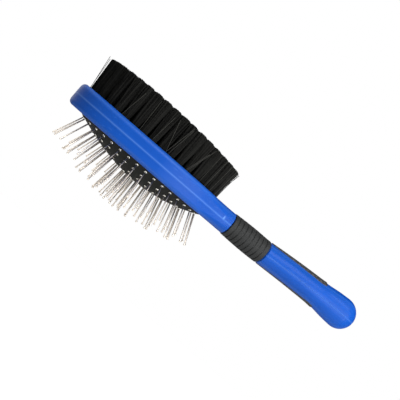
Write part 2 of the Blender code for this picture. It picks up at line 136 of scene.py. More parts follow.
@dataclass(frozen=True)
class BodyForm:
    """Outside of the blue body as a smooth run of rounded cross-sections.

    Attributes:
        knots: Station, half width, half depth and rise of the middle line, in mm.
        head_middle: Station of the head's widest part.
        head_power: Fullness of the head's outline.
        ball_middle: Station of the end ball's centre.
        ball_radius: Radius of the end ball along the brush.
        widest: Stations between which the head keeps its full half width.
        half_head: That half width.
        nose: Length of the rounding at the head's tip and how far it goes down.
        shoulder: How far the edge rounding reaches across and down on the head.
        rounding: Station where the section starts to turn round and the length that it takes.
        flat_share: Share of the half section taken by its flat side, and again by its flat crown.
    """

    knots: tuple[tuple[float, float, float, float], ...] = (
        (48.5, 30.0, 7.05, 0.0), (61.5, 30.0, 7.05, 0.0), (69.5, 29.1, 7.05, 0.0), (79, 27.0, 7.05, 0.0),
        (88.5, 23.4, 7.0, 0.0), (96, 19.6, 6.95, 0.0), (103.7, 15.8, 6.95, 0.0), (110.5, 13.2, 6.95, 0.0),
        (116.3, 12.2, 7.0, 0.05), (129.4, 11.9, 7.1, 0.3), (142.6, 12.0, 7.25, 0.65), (152, 12.4, 7.5, 1.35),
        (162.5, 12.9, 7.75, 2.1), (173.2, 13.0, 8.0, 2.7), (181.8, 12.4, 8.2, 3.1), (188.3, 11.4, 8.7, 3.3),
        (195, 11.0, 9.45, 3.4), (202, 10.8, 9.85, 3.5), (212, 10.8, 9.85, 3.5),
    )
    head_middle: float = 54.5 * MM
    head_power: float = 2.3
    ball_middle: float = 202 * MM
    ball_radius: float = 10 * MM
    widest: tuple[float, float] = (48.5 * MM, 61.5 * MM)
    half_head: float = 30 * MM
    nose: tuple[float, float] = (3 * MM, 2.6 * MM)
    shoulder: tuple[float, float] = (4.2 * MM, 2.9 * MM)
    rounding: tuple[float, float] = (95 * MM, 25 * MM)
    flat_share: float = 0.24

    def knot_value(self, column: int, x: float) -> float:
        """Read one column of the knots as a smooth curve.

        Args:
            column: Column of the knots.
            x: Station.

        Returns:
            The curve's value at the station, in metres.
        """
        xs = [knot[0] * MM for knot in self.knots]
        ys = [knot[column] * MM for knot in self.knots]
        slopes = np.gradient(ys, xs)
        i = min(max(int(np.searchsorted(xs, x)) - 1, 0), len(xs) - 2)
        step = xs[i + 1] - xs[i]
        t = min(max((x - xs[i]) / step, 0.0), 1.0)
        flat = ys[i] * (2 * t**3 - 3 * t**2 + 1) + ys[i + 1] * (3 * t**2 - 2 * t**3)
        return float(flat + step * (slopes[i] * (t**3 - 2 * t**2 + t) + slopes[i + 1] * (t**3 - t**2)))

    @lru_cache(maxsize=None)
    def size(self, x: float) -> tuple[float, float, float]:
        """Half width, half depth and middle level at a station.

        Args:
            x: Station.

        Returns:
            Half width, half depth and rise.
        """
        wide, deep, rise = (self.knot_value(column, x) for column in (1, 2, 3))
        if self.widest[0] < x < self.widest[1]:
            wide = self.half_head
        if x < self.head_middle:
            share = min((self.head_middle - x) / self.head_middle, 1.0)
            wide *= max(1 - share**self.head_power, 0.0) ** (1 / self.head_power)
            length, drop = self.nose
            near = max(1 - x / length, 0.0)
            wide, deep = max(wide, drop), deep - drop * (1 - math.sqrt(1 - near**2))
        if x > self.ball_middle:
            share = max(1 - ((x - self.ball_middle) / self.ball_radius) ** 2, 0.004) ** 0.5
            wide, deep = wide * share, deep * share
        return wide, deep, rise

    def section(self, x: float, around: float, grow: float = 0.0) -> tuple[float, float]:
        """A point of the half cross-section, before the middle line's rise.

        Args:
            x: Station.
            around: From 0 at one parting edge over the crown to 1 at the other.
            grow: Extra distance outwards.

        Returns:
            Distance across and level.
        """
        wide, deep, _ = self.size(x)
        wide, deep = wide + grow, deep + grow
        round_off = min(max((x - self.rounding[0]) / self.rounding[1], 0.0), 1.0)
        across = min(self.shoulder[0], 0.8 * wide) * (1 - round_off) + 0.999 * wide * round_off
        down = min(self.shoulder[1] * (1 - round_off) + 0.93 * deep * round_off, 0.93 * deep)
        sign, share = (1, 2 * around) if around <= 0.5 else (-1, 2 * (1 - around))
        flat = self.flat_share
        if share < flat:
            return sign * wide, (deep - down) * share / flat
        if share < 1 - flat:
            turn = (share - flat) / (1 - 2 * flat) * math.pi / 2
            return sign * (wide - across * (1 - math.cos(turn))), deep - down * (1 - math.sin(turn))
        return sign * (wide - across) * (1 - share) / flat, deep


LAYOUT = Layout()
FORM = BodyForm()


@lru_cache(maxsize=None)
def crown_run(x: float) -> tuple[list[float], list[float]]:
    """The half section's outline from the middle line outwards.

    Args:
        x: Station.

    Returns:
        Distances across and the level at each.
    """
    run = [FORM.section(x, turn) for turn in np.linspace(0.5, 0.0, 61)]
    return [point[0] for point in run], [point[1] for point in run]


# --------------------------------------------------------------------------------------
# Modelling helpers
# --------------------------------------------------------------------------------------


def clear_selection() -> None:
    """Leave nothing selected, in object mode."""
    if bpy.context.object and bpy.context.object.mode != "OBJECT":
        bpy.ops.object.mode_set(mode="OBJECT")
    bpy.ops.object.select_all(action="DESELECT")


def focus(piece: bpy.types.Object) -> None:
    """Make one piece the only selected and active one.

    Args:
        piece: The piece.
    """
    clear_selection()
    piece.select_set(True)
    bpy.context.view_layer.objects.active = piece


def points_of(piece: bpy.types.Object) -> np.ndarray:
    """Vertices of a piece.

    Args:
        piece: The piece.

    Returns:
        An array with one row for each vertex.
    """
    points = np.empty(len(piece.data.vertices) * 3)
    piece.data.vertices.foreach_get("co", points)
    return points.reshape(-1, 3)


def move_points(piece: bpy.types.Object, points: np.ndarray) -> None:
    """Put the vertices of a piece in new places.

    Args:
        piece: The piece.
        points: One row for each vertex.
    """
    piece.data.vertices.foreach_set("co", np.asarray(points, float).ravel())
    piece.data.update()


def mapped_grid(name: str, columns: int, rows: int, surface: Surface) -> bpy.types.Object:
    """A grid primitive laid onto a surface.

    Args:
        name: Name of the piece.
        columns: Steps along the surface's first share.
        rows: Steps along its second share.
        surface: Gives the point for two shares from 0 to 1.

    Returns:
        The piece.
    """
    clear_selection()
    bpy.ops.mesh.primitive_grid_add(x_subdivisions=columns, y_subdivisions=rows, size=1.0)
    piece = bpy.context.object
    piece.name = piece.data.name = name
    move_points(piece, np.array([surface(x + 0.5, y + 0.5) for x, y, _ in points_of(piece)]))
    return piece


def edit_all(piece: bpy.types.Object, *steps: Callable[[], object]) -> None:
    """Run edit-mode steps with the whole piece selected.

    Args:
        piece: The piece.
        *steps: What to run, in order.
    """
    focus(piece)
    bpy.ops.object.mode_set(mode="EDIT")
    bpy.ops.mesh.select_all(action="SELECT")
    for step in steps:
        step()
    bpy.ops.object.mode_set(mode="OBJECT")


def even_faces() -> None:
    """Make the selected faces agree on which way is out."""
    bpy.ops.mesh.normals_make_consistent(inside=False)


def close_seams(piece: bpy.types.Object, reach: float = 1e-6) -> None:
    """Merge meeting edges and turn every face outwards.

    Args:
        piece: The piece.
        reach: Points nearer each other than this become one.
    """
    edit_all(piece, lambda: bpy.ops.mesh.remove_doubles(threshold=reach), even_faces)


def face_out(piece: bpy.types.Object, side: int) -> None:
    """Turn a piece's faces over if the one furthest up or down looks inwards.

    Args:
        piece: The piece, open on the other side.
        side: 1 for the furthest face up, -1 for the furthest one down.
    """
    crown = max(piece.data.polygons, key=lambda face: side * face.center.z)
    if crown.normal.z * side < 0:
        edit_all(piece, bpy.ops.mesh.flip_normals)


def fill_rim(piece: bpy.types.Object, chosen: Callable[[Vector], bool]) -> None:
    """Close an open rim with one face.

    Args:
        piece: The piece.
        chosen: Says whether a vertex is on the rim.
    """
    focus(piece)
    bpy.ops.object.mode_set(mode="EDIT")
    bpy.ops.mesh.select_all(action="DESELECT")
    bpy.ops.mesh.select_mode(type="VERT")
    bpy.ops.object.mode_set(mode="OBJECT")
    for vertex in piece.data.vertices:
        vertex.select = chosen(vertex.co)
    bpy.ops.object.mode_set(mode="EDIT")
    bpy.ops.mesh.edge_face_add()
    bpy.ops.object.mode_set(mode="OBJECT")


def modify(piece: bpy.types.Object, kind: str, **settings: object) -> None:
    """Add a modifier and apply it.

    Args:
        piece: The piece.
        kind: Type of the modifier.
        **settings: Its settings.
    """
    focus(piece)
    modifier = piece.modifiers.new(kind.lower(), kind)
    for key, value in settings.items():
        setattr(modifier, key, value)
    bpy.ops.object.modifier_apply(modifier=modifier.name)


def smooth(piece: bpy.types.Object, degrees: float = 35.0) -> None:
    """Shade a piece smooth, except across sharp edges.

    Args:
        piece: The piece.
        degrees: Edges that turn by more than this stay sharp.
    """
    focus(piece)
    bpy.ops.object.shade_smooth_by_angle(angle=math.radians(degrees))


def oval(long: float, wide: float, power: float, turn: float) -> tuple[float, float]:
    """A point on an oval outline.

    Args:
        long: Half length.
        wide: Half width.
        power: Fullness, 2 for an ellipse.
        turn: Angle.

    Returns:
        Distances along and across.
    """
    c, s = math.cos(turn), math.sin(turn)
    return long * math.copysign(abs(c) ** (2 / power), c), wide * math.copysign(abs(s) ** (2 / power), s)


def cut_oval(
    piece: bpy.types.Object, middle: float, size: tuple[float, float], power: float, low: float, high: float
) -> None:
    """Cut an upright oval opening through a piece.

    Args:
        piece: The piece.
        middle: Station of the opening's middle.
        size: Half length and half width.
        power: Fullness of the outline.
        low: Lower level of the cut.
        high: Upper level of the cut.
    """
    clear_selection()
    bpy.ops.mesh.primitive_cylinder_add(vertices=144, radius=1.0, depth=2.0)
    cutter = bpy.context.object
    outline = []
    for x, y, z in points_of(cutter):
        along, across = oval(size[0], size[1], power, math.atan2(y, x))
        outline.append(LAYOUT.place(middle + along, across, high if z > 0 else low))
    move_points(cutter, np.array(outline))
    modify(piece, "BOOLEAN", operation="DIFFERENCE", solver="EXACT", object=cutter)
    bpy.data.objects.remove(cutter)


def even_turns(long: float, wide: float, count: int, phase: float = 0.0) -> np.ndarray:
    """Angles that spread a number of places evenly round an ellipse.

    Args:
        long: Half length.
        wide: Half width.
        count: Number of places.
        phase: Share of a step that the first place is moved on.

    Returns:
        The angles.
    """
    turns = np.linspace(0, 2 * math.pi, 721)
    run = np.hypot(long * np.sin(turns), wide * np.cos(turns))
    travelled = np.concatenate([[0], np.cumsum((run[1:] + run[:-1]) / 2)])
    return np.interp((np.arange(count) + phase) / count * travelled[-1], travelled, turns)


def copies(
    name: str, model: bpy.types.Object, places: list[np.ndarray], shades: list[float] | None = None
) -> bpy.types.Object:
    """Lay out many copies of a modelled shape as one piece.

    Args:
        name: Name of the new piece.
        model: The shape, modelled round the origin.
        places: For each copy, its vertices in the row frame.
        shades: A value for each copy, kept on its points as the attribute "shade".

    Returns:
        The piece.
    """
    faces = [tuple(face.vertices) for face in model.data.polygons]
    count = len(model.data.vertices)
    every = [tuple(i + k * count for i in face) for k in range(len(places)) for face in faces]
    data = bpy.data.meshes.new(name)
    data.from_pydata(np.concatenate(places).tolist(), [], every)
    piece = bpy.data.objects.new(name, data)
    bpy.context.scene.collection.objects.link(piece)
    if shades is not None:
        values = data.attributes.new("shade", "FLOAT", "POINT")
        values.data.foreach_set("value", np.repeat(np.array(shades, np.float32), count))
    return piece


# --------------------------------------------------------------------------------------
# Finishes
# --------------------------------------------------------------------------------------


class Board:
    """A node tree with short ways to add nodes and links."""

    def __init__(self, tree: bpy.types.NodeTree) -> None:
        """Start on a tree.

        Args:
            tree: The node tree.
        """
        self.tree = tree

    def add(self, kind: str, inputs: dict[str, object] | None = None, **settings: object) -> bpy.types.Node:
        """Add a node.

        Args:
            kind: Class name of the node, without "ShaderNode" in front.
            inputs: Values or output sockets for its inputs, by name.
            **settings: Its own settings.

        Returns:
            The node.
        """
        node = self.tree.nodes.new(kind if kind.startswith("Node") else f"ShaderNode{kind}")
        for key, value in settings.items():
            setattr(node, key, value)
        for key, value in (inputs or {}).items():
            if isinstance(value, bpy.types.NodeSocket):
                self.tree.links.new(value, node.inputs[key])
            else:
                node.inputs[key].default_value = value
        return node

    def blend(self, share: bpy.types.NodeSocket, low: tuple, high: tuple) -> bpy.types.NodeSocket:
        """Mix two colours.

        Args:
            share: Share of the second colour.
            low: First colour.
            high: Second colour.

        Returns:
            The mixed colour.
        """
        ramp = self.add("ValToRGB", {"Fac": share})
        ramp.color_ramp.elements[0].color = (*low, 1)
        ramp.color_ramp.elements[1].color = (*high, 1)
        return ramp.outputs["Color"]

    def spread(self, share: bpy.types.NodeSocket, low: float, high: float) -> bpy.types.NodeSocket:
        """Stretch a share between two values.

        Args:
            share: A value from 0 to 1.
            low: The value at 0.
            high: The value at 1.

        Returns:
            The stretched value.
        """
        node = self.add("MapRange", {"Value": share, "To Min": low, "To Max": high})
        return node.outputs["Result"]

    def tint(
        self, share: bpy.types.NodeSocket, base: bpy.types.NodeSocket, color: tuple
    ) -> bpy.types.NodeSocket:
        """Mix a fixed colour into a made one.

        Args:
            share: Share of the fixed colour.
            base: The made colour.
            color: The fixed colour.

        Returns:
            The mixed colour.
        """
        node = self.add("Mix", {"Factor": share}, data_type="RGBA")
        node.inputs[7].default_value = (*color, 1)
        self.tree.links.new(base, node.inputs[6])
        return node.outputs[2]


@dataclass(frozen=True)
class GrainEffect:
    """Fine grain of moulded or rubbed plastic as a node group: a broad mottle, a fine grain and their height.

    Attributes:
        name: Name of the group.
    """

    name: str = "surface_grain"

    def group(self) -> bpy.types.NodeTree:
        """Make the group, or find it again.

        Returns:
            The node group.
        """
        found = bpy.data.node_groups.get(self.name)
        if found:
            return found
        tree = bpy.data.node_groups.new(self.name, "ShaderNodeTree")
        for label, low in (("Broad Scale", 40.0), ("Fine Scale", 900.0)):
            socket = tree.interface.new_socket(label, in_out="INPUT", socket_type="NodeSocketFloat")
            socket.default_value = low
        for label in ("Mottle", "Grain", "Height"):
            tree.interface.new_socket(label, in_out="OUTPUT", socket_type="NodeSocketFloat")
        board = Board(tree)
        given, out = board.add("NodeGroupInput"), board.add("NodeGroupOutput")
        where = board.add("TexCoord").outputs["Object"]
        broad = board.add("TexNoise", {"Vector": where, "Scale": given.outputs["Broad Scale"], "Detail": 4.0})
        fine = board.add("TexNoise", {"Vector": where, "Scale": given.outputs["Fine Scale"], "Detail": 3.0})
        total = board.add("Math", operation="ADD")
        for source, sink in (
            (broad.outputs["Fac"], out.inputs["Mottle"]),
            (fine.outputs["Fac"], out.inputs["Grain"]),
            (broad.outputs["Fac"], total.inputs[0]),
            (fine.outputs["Fac"], total.inputs[1]),
            (total.outputs["Value"], out.inputs["Height"]),
        ):
            tree.links.new(source, sink)
        return tree


@dataclass(frozen=True)
class ScuffEffect:
    """Fine straight scuffs in two directions as a node group.

    Attributes:
        name: Name of the group.
    """

    name: str = "light_scuffs"

    def group(self) -> bpy.types.NodeTree:
        """Make the group, or find it again.

        Returns:
            The node group.
        """
        found = bpy.data.node_groups.get(self.name)
        if found:
            return found
        tree = bpy.data.node_groups.new(self.name, "ShaderNodeTree")
        tree.interface.new_socket("Scuffs", in_out="OUTPUT", socket_type="NodeSocketFloat")
        board = Board(tree)
        out = board.add("NodeGroupOutput")
        where = board.add("TexCoord").outputs["Object"]
        lines = []
        for turn, stretch in ((0.5, 30.0), (-0.9, 22.0)):
            laid = board.add(
                "Mapping", {"Vector": where, "Rotation": (0.3, turn, turn), "Scale": (stretch, 900, 900)})
            streak = board.add("TexNoise", {"Vector": laid.outputs["Vector"], "Scale": 1.0, "Detail": 2.0})
            line = board.add("MapRange", {"Value": streak.outputs["Fac"], "From Min": 0.66, "From Max": 0.74})
            lines.append(line.outputs["Result"])
        both = board.add("Math", operation="MAXIMUM")
        for i, line in enumerate(lines):
            tree.links.new(line, both.inputs[i])
        tree.links.new(both.outputs["Value"], out.inputs["Scuffs"])
        return tree


@dataclass(frozen=True)
class Finish:
    """A finish built on the principled shader.

    Attributes:
        name: Name of the material.
        dark: Base colour in the hollows of the grain.
        light: Base colour on its crests.
        rough: Lowest and highest roughness.
        relief: Depth of the grain, in metres.
        scales: Broad and fine scale of the grain.
        metallic: Metalness.
        specular: Specular level.
        coat: Weight of a clear, smooth top layer.
    """

    name: str
    dark: tuple[float, float, float]
    light: tuple[float, float, float]
    rough: tuple[float, float] = (0.4, 0.55)
    relief: float = 0.00003
    scales: tuple[float, float] = (40.0, 900.0)
    metallic: float = 0.0
    specular: float = 0.5
    coat: float = 0.0

    def start(self) -> tuple[bpy.types.Material, Board, bpy.types.Node, bpy.types.Node]:
        """Make the material with its grain.

        Returns:
            The material, its board, its shader and its grain.
        """
        made = bpy.data.materials.new(self.name)
        made.use_nodes = True
        made.diffuse_color = (*self.light, 1)
        board = Board(made.node_tree)
        shader = made.node_tree.nodes["Principled BSDF"]
        shader.inputs["Metallic"].default_value = self.metallic
        shader.inputs["Specular IOR Level"].default_value = self.specular
        shader.inputs["Coat Weight"].default_value = self.coat
        shader.inputs["Coat Roughness"].default_value = 0.25
        grain = board.add("Group", node_tree=GrainEffect().group())
        grain.inputs["Broad Scale"].default_value = self.scales[0]
        grain.inputs["Fine Scale"].default_value = self.scales[1]
        return made, board, shader, grain

    def dress(self, board: Board, shader: bpy.types.Node, grain: bpy.types.Node) -> bpy.types.NodeSocket:
        """Feed the shader's colour, roughness and normal from the grain.

        Args:
            board: The material's board.
            shader: Its shader.
            grain: Its grain.

        Returns:
            The base colour, for finishes that add to it.
        """
        color = board.blend(grain.outputs["Mottle"], self.dark, self.light)
        board.tree.links.new(color, shader.inputs["Base Color"])
        board.tree.links.new(board.spread(grain.outputs["Grain"], *self.rough), shader.inputs["Roughness"])
        height = grain.outputs["Height"]
        bump = board.add("Bump", {"Height": height, "Distance": self.relief, "Strength": 0.5})
        board.tree.links.new(bump.outputs["Normal"], shader.inputs["Normal"])
        return color

    def build(self) -> bpy.types.Material:
        """Make the finish.

        Returns:
            The material.
        """
        made, board, shader, grain = self.start()
        self.dress(board, shader, grain)
        return made


@dataclass(frozen=True)
class MouldedPlastic(Finish):
    """Coloured moulded plastic with light scuffs, drawn paler along the parting line, at a nick and round the
    shoulders, where the paler colour is a painted highlight.

    Attributes:
        wear_and_sheen_colour: Paler colour for the scuffs, the parting line, the nick and the shoulders'
            painted highlight.
        scuffing: Strength of the scuffs.
        patchy: How far the mottle thins and thickens the paler marks.
    """

    wear_and_sheen_colour: tuple[float, float, float] = (0.12, 0.28, 0.7)
    scuffing: float = 0.09
    patchy: tuple[float, float] = (0.55, 1.15)

    def build(self) -> bpy.types.Material:
        """Make the finish.

        Returns:
            The material.
        """
        made, board, shader, grain = self.start()
        base = self.dress(board, shader, grain)
        # The point attribute draws the colour paler along the parting line, at the nick and round the
        # shoulders, there as a painted highlight; scuffs add to it.
        wear_and_sheen = board.add("Attribute", attribute_name="wear_and_sheen").outputs["Fac"]
        uneven = board.spread(grain.outputs["Mottle"], *self.patchy)
        broken = board.add("Math", {0: wear_and_sheen, 1: uneven}, operation="MULTIPLY").outputs[0]
        scuffs = board.add("Group", node_tree=ScuffEffect().group()).outputs["Scuffs"]
        faint = board.add("Math", {0: scuffs, 1: self.scuffing}, operation="MULTIPLY").outputs[0]
        share = board.add("Math", {0: broken, 1: faint}, operation="MAXIMUM", use_clamp=True).outputs[0]
        board.tree.links.new(board.tint(share, base, self.wear_and_sheen_colour), shader.inputs["Base Color"])
        return made


@dataclass(frozen=True)
class KnurledRubber(Finish):
    """Soft rubber with a fine slanting hatch, drawn darker between the ridges as painted shade.

    Attributes:
        pitch: Distance between the ridges.
        depth: Depth of the hatch.
        groove: Colour between the ridges, a painted shade.
    """

    pitch: float = 2.1 * MM
    depth: float = 0.4 * MM
    groove: tuple[float, float, float] = (0.006, 0.006, 0.006)

    def build(self) -> bpy.types.Material:
        """Make the finish.

        Returns:
            The material.
        """
        made, board, shader, grain = self.start()
        base = self.dress(board, shader, grain)
        where = board.add("TexCoord").outputs["Object"]
        ridges = []
        for turn in (0.95, -0.6):
            laid = board.add("Mapping", {"Vector": where, "Rotation": (0, turn, turn)})
            wave = board.add("TexWave", {
                "Vector": laid.outputs["Vector"], "Scale": WAVE_PERIOD / self.pitch, "Distortion": 0.3,
            }, wave_profile="SIN")
            ridges.append(wave.outputs["Fac"])
        hatch = board.add("Math", {0: ridges[0], 1: ridges[1]}, operation="MULTIPLY").outputs[0]
        # Darken the hollows of the hatch towards the groove colour: painted shade between the ridges.
        shade = board.tint(board.spread(hatch, 0.75, 0.0), base, self.groove)
        board.tree.links.new(shade, shader.inputs["Base Color"])
        bump = board.add("Bump", {"Height": hatch, "Distance": self.depth, "Strength": 0.9})
        board.tree.links.new(bump.outputs["Normal"], shader.inputs["Normal"])
        return made


@dataclass(frozen=True)
class ShadedFinish(Finish):
    """A finish whose base colour runs from dark to light with the attribute "shade"."""

    def build(self) -> bpy.types.Material:
        """Make the finish.

        Returns:
            The material.
        """
        made, board, shader, grain = self.start()
        self.dress(board, shader, grain)
        shade = board.add("Attribute", attribute_name="shade").outputs["Fac"]
        board.tree.links.new(board.blend(shade, self.dark, self.light), shader.inputs["Base Color"])
        return made


@dataclass(frozen=True)
class Finishes:
    """Every finish of the brush."""

    blue: bpy.types.Material
    bristle: bpy.types.Material
    plate: bpy.types.Material
    cushion: bpy.types.Material
    steel: bpy.types.Material
    eyelet: bpy.types.Material
    collar: bpy.types.Material
    grip: bpy.types.Material

    @classmethod
    def build(cls) -> "Finishes":
        """Make every finish.

        Returns:
            The finishes.
        """
        return cls(
            blue=MouldedPlastic("moulded_blue", (0.002, 0.058, 0.350), (0.006, 0.085, 0.450), (0.34, 0.44),
                                relief=0.0000015, scales=(22.0, 500.0), specular=0.14).build(),
            bristle=ShadedFinish("bristle_fibre", (0.0012, 0.0012, 0.0010), (0.034, 0.034, 0.030),
                                 (0.5, 0.65), relief=0.000005, specular=0.12).build(),
            plate=Finish("plate_plastic", (0.012, 0.012, 0.012), (0.022, 0.022, 0.022), (0.45, 0.6)).build(),
            cushion=Finish("cushion_rubber", (0.002, 0.0026, 0.002), (0.007, 0.008, 0.006), (0.45, 0.65),
                           relief=0.00004, scales=(120.0, 1400.0), specular=0.2).build(),
            # Steel drawn from a near-black root, painted shade and painted reflection of the black rubber, to
            # a cream tone, a painted reflection of the pale surroundings.
            steel=ShadedFinish("pin_steel", (0.045, 0.032, 0.026), (1.0, 0.91, 0.80), (0.34, 0.42),
                               relief=0.0000001, scales=(60.0, 300.0), metallic=1.0).build(),
            # Near-white rings at the pin roots: a painted highlight where the pins leave the rubber.
            eyelet=Finish("eyelet_painted_highlight", (0.96, 0.93, 0.84), (1.0, 0.98, 0.90), (0.25, 0.4), relief=0.000005,
                          coat=0.6).build(),
            collar=Finish("collar_rubber", (0.012, 0.013, 0.013), (0.027, 0.028, 0.028), (0.55, 0.75),
                          relief=0.00004, scales=(90.0, 1600.0), specular=0.3).build(),
            grip=KnurledRubber("grip_rubber", (0.055, 0.056, 0.060), (0.095, 0.098, 0.102),
                               (0.5, 0.7)).build(),
        )


def dress(piece: bpy.types.Object, finish: bpy.types.Material, slot: Slot | None = None) -> None:
    """Give a piece its finish.

    Args:
        piece: The piece.
        finish: The material.
        slot: The record's slot that it stands for; not used.
    """
    piece.data.materials.clear()
    piece.data.materials.append(finish)


# --------------------------------------------------------------------------------------
# Blue body
# --------------------------------------------------------------------------------------


@dataclass
class ShellHalf:
    """One half of the blue body.

    Attributes:
        name: Name of the piece.
        side: The face it belongs to.
        middle: Station of its opening's middle.
        opening: Half length and half width of the opening.
        power: Fullness of the opening's outline.
        body_form: Shape of the body.
        thick: Wall.
        neck: Where the neck is stepped in for the collar.
        step: Depth of that step.
        ramp: Length over which it comes in.
        flash: Height of the fine ridge along the parting line.
        fade: Length over which the ridge fades at both ends.
        cut: Levels from the parting plane between which the opening is cut.
        line_paleness: How much paler the parting line is drawn, before the collar and behind its start.
        line_reach: How far that paleness reaches from the line.
        shoulder_sheen: Strength of the painted highlight drawn paler along the shoulders.
        nick: Station of a small bright nick on the near side of the neck.
        nick_size: Its reach along the neck, and its height over the parting line and reach upwards.
        nick_wear: Wear in the nick.
        crowding: How far the grid crowds towards both ends of the body.
        columns: Steps along the body.
        rows: Steps round the half section.
        form: The modelled piece.
    """

    name: str
    side: Side
    middle: float
    opening: tuple[float, float]
    power: float
    body_form: BodyForm = FORM
    thick: float = 2.0 * MM
    neck: tuple[float, float] = (116.0 * MM, 142.9 * MM)
    step: float = 2.0 * MM
    ramp: float = 0.6 * MM
    flash: float = 0.16 * MM
    fade: float = 4 * MM
    cut: tuple[float, float] = (1.0 * MM, 12 * MM)
    line_paleness: tuple[float, float] = (0.5, 0.24)
    line_reach: float = 0.42 * MM
    shoulder_sheen: float = 0.16
    nick: float = 109.9 * MM
    nick_size: tuple[float, float] = (0.32 * MM, 1.0 * MM)
    nick_wear: float = 1.8
    crowding: float = 0.075
    columns: int = 420
    rows: int = 72
    form: bpy.types.Object = field(init=False, repr=False)

    def station(self, share: float) -> float:
        """Station of a grid column, closer together at both ends.

        Args:
            share: From 0 at the head's tip to 1 at the handle's end.

        Returns:
            The station.
        """
        return LAYOUT.length * (share - self.crowding * math.sin(2 * math.pi * share))

    def surface(self, along: float, around: float) -> Vector:
        """A point of the outside.

        Args:
            along: Share of the body's length.
            around: Share of the half section.

        Returns:
            The point.
        """
        x = self.station(along)
        _, _, rise = self.body_form.size(x)
        low, high = self.neck
        sunk = min(max((x - low) / self.ramp, 0), max((high - x) / self.ramp, 0), 1.0)
        nearness = max(1 - min(around, 1 - around) / 0.06, 0.0)
        grow = self.flash * nearness**2 * min(x / self.fade, 1) * min((LAYOUT.length - x) / self.fade, 1)
        across, level = self.body_form.section(x, around, grow - self.step * sunk)
        return LAYOUT.place(x, across, rise + self.side * level)

    def build(self) -> None:
        """Model the shell with its wall and its opening."""
        self.form = mapped_grid(self.name, self.columns, self.rows, self.surface)
        close_seams(self.form)
        for end in (0.0, LAYOUT.length):
            edge = end - LAYOUT.length / 2
            fill_rim(self.form, lambda co, edge=edge: abs(co.x - edge) < 1e-6)
        edit_all(self.form, even_faces)
        face_out(self.form, self.side)
        modify(self.form, "SOLIDIFY", thickness=self.thick, offset=-1.0, use_even_offset=True,
               thickness_clamp=1.0)
        low, high = sorted(self.side * level for level in self.cut)
        cut_oval(self.form, self.middle, self.opening, self.power, low, high)
        self.mark_wear_and_sheen()
        smooth(self.form, 32)

    def mark_wear_and_sheen(self) -> None:
        """Keep on each point how much paler it is drawn: most along the parting line and round the shoulders,
        where it is a painted highlight, and at the nick.
        """
        points = points_of(self.form)
        wear_and_sheen = []
        for x, y, z in points:
            station = round(x + LAYOUT.length / 2, 4)
            wide, deep, rise = self.body_form.size(station)
            level = abs(z - LAYOUT.parting - rise)
            # Paler along the parting line.
            edge = math.exp(-((level / self.line_reach) ** 2))
            beside = (station - self.nick) / self.nick_size[0]
            above = (level - self.nick_size[1]) / self.nick_size[1]
            mark = math.exp(-(beside**2) - above**2) * (z > LAYOUT.parting) * (y < 0)
            # Paler round the shoulders: a painted highlight.
            shoulder = math.exp(-(((level - deep + 1.3 * MM) / (0.9 * MM)) ** 2)) * (abs(y) > 0.55 * wide)
            line = self.line_paleness[0] if station < self.neck[0] else self.line_paleness[1]
            wear_and_sheen.append(line * edge + self.shoulder_sheen * shoulder + self.nick_wear * mark)
        values = self.form.data.attributes.new("wear_and_sheen", "FLOAT", "POINT")
        values.data.foreach_set("value", np.array(wear_and_sheen, np.float32))


@dataclass
class BlueBody:
    """The body's two halves and the small bright nick where they meet beside the collar.

    Attributes:
        upper: The half round the bristles.
        lower: The half round the pins.
    """

    upper: ShellHalf = field(default_factory=lambda: ShellHalf(
        "bristle_side_shell_form", Side.BRISTLES, 52.6 * MM, (49.2 * MM, 26.2 * MM), 2.2))
    lower: ShellHalf = field(default_factory=lambda: ShellHalf(
        "pin_side_shell_form", Side.PINS, 54.8 * MM, (45.2 * MM, 25.3 * MM), 2.0))

    def build(self) -> None:
        """Model both halves."""
        for half in (self.upper, self.lower):
            half.build()

    def dress(self, finishes: Finishes) -> None:
        """Finish both halves and put them in the CAD shells' place.

        Args:
            finishes: The finishes.
        """
        for half, node in ((self.upper, "bristle_side_shell"), (self.lower, "pin_side_shell")):
            dress(half.form, finishes.blue, Slot.BLUE)
            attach(half.form, Body.BRUSH.value)
            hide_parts(node)


# --------------------------------------------------------------------------------------
# Collar and grips
# --------------------------------------------------------------------------------------


